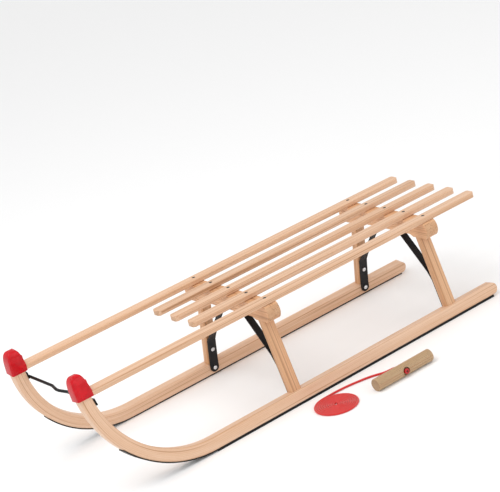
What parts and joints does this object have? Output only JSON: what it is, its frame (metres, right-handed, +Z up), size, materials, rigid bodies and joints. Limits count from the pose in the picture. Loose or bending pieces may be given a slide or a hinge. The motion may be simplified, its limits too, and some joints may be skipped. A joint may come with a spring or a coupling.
{
  "type": "wooden sled",
  "caption": "Wooden sled with slatted seat, bent runners with steel shoes, capped horns, a front bar and a coiled pull cord with handle.",
  "frame": {"origin": "middle of the sled on the ground, halfway along its length and between its runners", "axes": "+X forward to the horns, +Y to the sled's left, +Z up"},
  "size_m": [1.01, 0.4397, 0.2639],
  "materials": {
    "beech": "clear lacquer, satin",
    "beech_dark": "clear lacquer, satin",
    "black_steel": "black, satin",
    "bright_steel": "zinc plated",
    "red_plastic": "gloss",
    "red_rope": "braided"
  },
  "bodies": {
    "sled": {"left_runner": "beech", "right_runner": "beech", "left_runner_steel": "black_steel", "right_runner_steel": "black_steel", "runner_steel_screws": "bright_steel", "rear_left_leg": "beech_dark", "rear_right_leg": "beech_dark", "front_left_leg": "beech_dark", "front_right_leg": "beech_dark", "rear_crossbeam": "beech_dark", "front_crossbeam": "beech_dark", "left_outer_slat": "beech", "left_inner_slat": "beech", "centre_slat": "beech", "right_inner_slat": "beech", "right_outer_slat": "beech", "slat_screws": "black_steel", "horn_screws": "bright_steel", "left_horn_cap": "red_plastic", "right_horn_cap": "red_plastic", "front_bar": "black_steel", "front_bar_screws": "bright_steel", "rear_left_brace": "black_steel", "rear_right_brace": "black_steel", "front_left_brace": "black_steel", "front_right_brace": "black_steel", "brace_screws": "bright_steel"},
    "pull_cord": {"rope_coil": "red_rope", "pull_rope": "red_rope", "rope_knot": "red_rope"},
    "handle": {"pull_handle": "beech"}
  },
  "joints": [
    {"name": "cord_lift", "type": "slide", "parent": "sled", "child": "pull_cord", "axis": [0, 0, 1], "range_m": [0, 0.3]},
    {"name": "handle_swivel", "type": "hinge", "parent": "pull_cord", "child": "handle", "pos_m": [-0.13, 0.262, 0.013], "axis": [0, 1, 0], "continuous": true}
  ]
}
